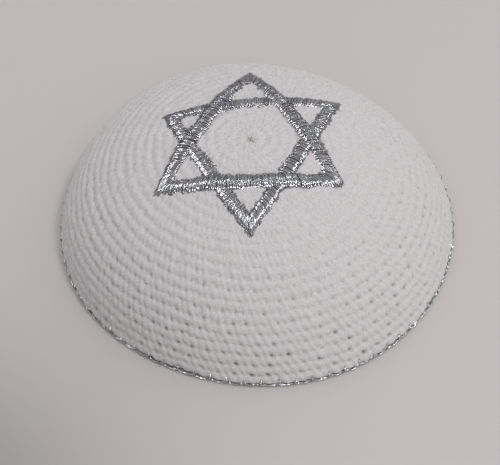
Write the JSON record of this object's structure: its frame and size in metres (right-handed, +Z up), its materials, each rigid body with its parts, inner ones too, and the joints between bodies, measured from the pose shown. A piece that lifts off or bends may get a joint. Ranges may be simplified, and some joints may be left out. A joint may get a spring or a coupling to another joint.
{
  "type": "kippah skullcap",
  "caption": "Round crocheted cotton skullcap lying dome up, hollow inside, with a silver thread edge along the rim and an embroidered six-pointed star on top.",
  "frame": {"origin": "centre of the cap's outline, on the table that its rim rests on", "axes": "+Z up through the crown, +Y towards the star's top point, +X to the right of someone who sees that point at the far side"},
  "size_m": [0.1648, 0.1642, 0.0495],
  "materials": {
    "cotton_yarn": "matt white crocheted cotton yarn",
    "silver_thread": "glinting metallised silver thread"
  },
  "bodies": {
    "root": {"crown": "cotton_yarn", "silver_edge": "silver_thread", "star_triangle_under": "silver_thread", "star_triangle_over": "silver_thread"}
  },
  "joints": []
}
